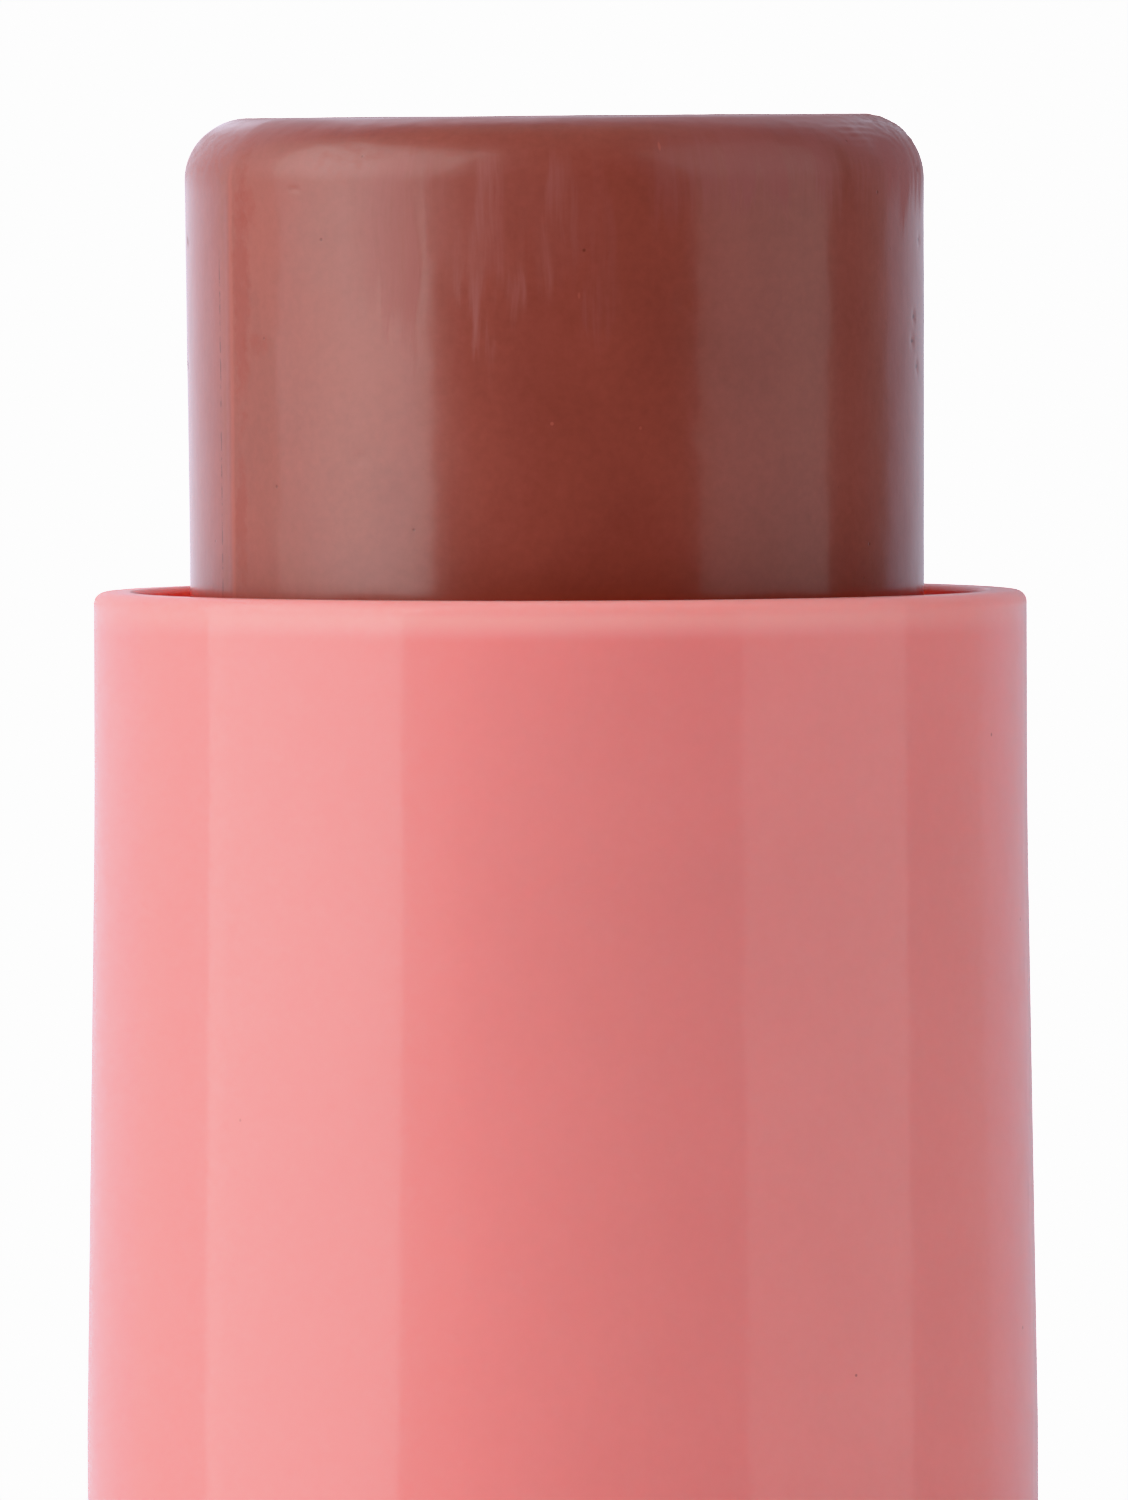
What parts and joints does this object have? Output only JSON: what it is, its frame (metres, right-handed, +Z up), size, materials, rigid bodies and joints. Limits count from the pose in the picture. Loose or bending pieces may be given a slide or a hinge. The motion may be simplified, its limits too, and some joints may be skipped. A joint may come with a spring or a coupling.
{
  "type": "twist-up blush stick",
  "caption": "Twist-up blush stick: a round cream blush bullet in a glossy pink tube with a flared neck, a body sleeve and a base dial that turns to raise it.",
  "frame": {"origin": "centre of the base dial's underside, on the surface the stick stands on", "axes": "+Z up the stick's axis, towards the bullet; +X and +Y are the two planes of the guide tube's slots and dogs"},
  "size_m": [0.023, 0.023, 0.0652],
  "materials": {
    "blush": "waxy cream blush, satin, red-brown terracotta",
    "pink_shell": "glossy moulded plastic, salmon pink",
    "natural_plastic": "natural, slightly milky moulded plastic",
    "white_plastic": "white moulded plastic, satin",
    "weight_steel": "zinc-plated steel ring",
    "ring_rubber": "black rubber ring"
  },
  "bodies": {
    "shell": {"neck_shell": "pink_shell", "body_shell": "pink_shell", "guide_tube": "natural_plastic"},
    "twist_base": {"base_dial": "pink_shell", "lead_screw": "white_plastic", "base_weight": "weight_steel", "friction_ring": "ring_rubber"},
    "carriage": {"carrier_cup": "white_plastic", "blush_bullet": "blush"}
  },
  "joints": [
    {"name": "base_twist", "type": "hinge", "parent": "shell", "child": "twist_base", "pos_m": [0, 0, 0], "axis": [0, 0, 1], "range_deg": [-732, 918]},
    {"name": "carrier_lift", "type": "slide", "parent": "shell", "child": "carriage", "axis": [0, 0, 1], "range_m": [-0.0122, 0.0153]}
  ],
  "couplings": [
    {"joint": "carrier_lift", "follows": "base_twist", "m_per_rad": 0.00095492}
  ]
}
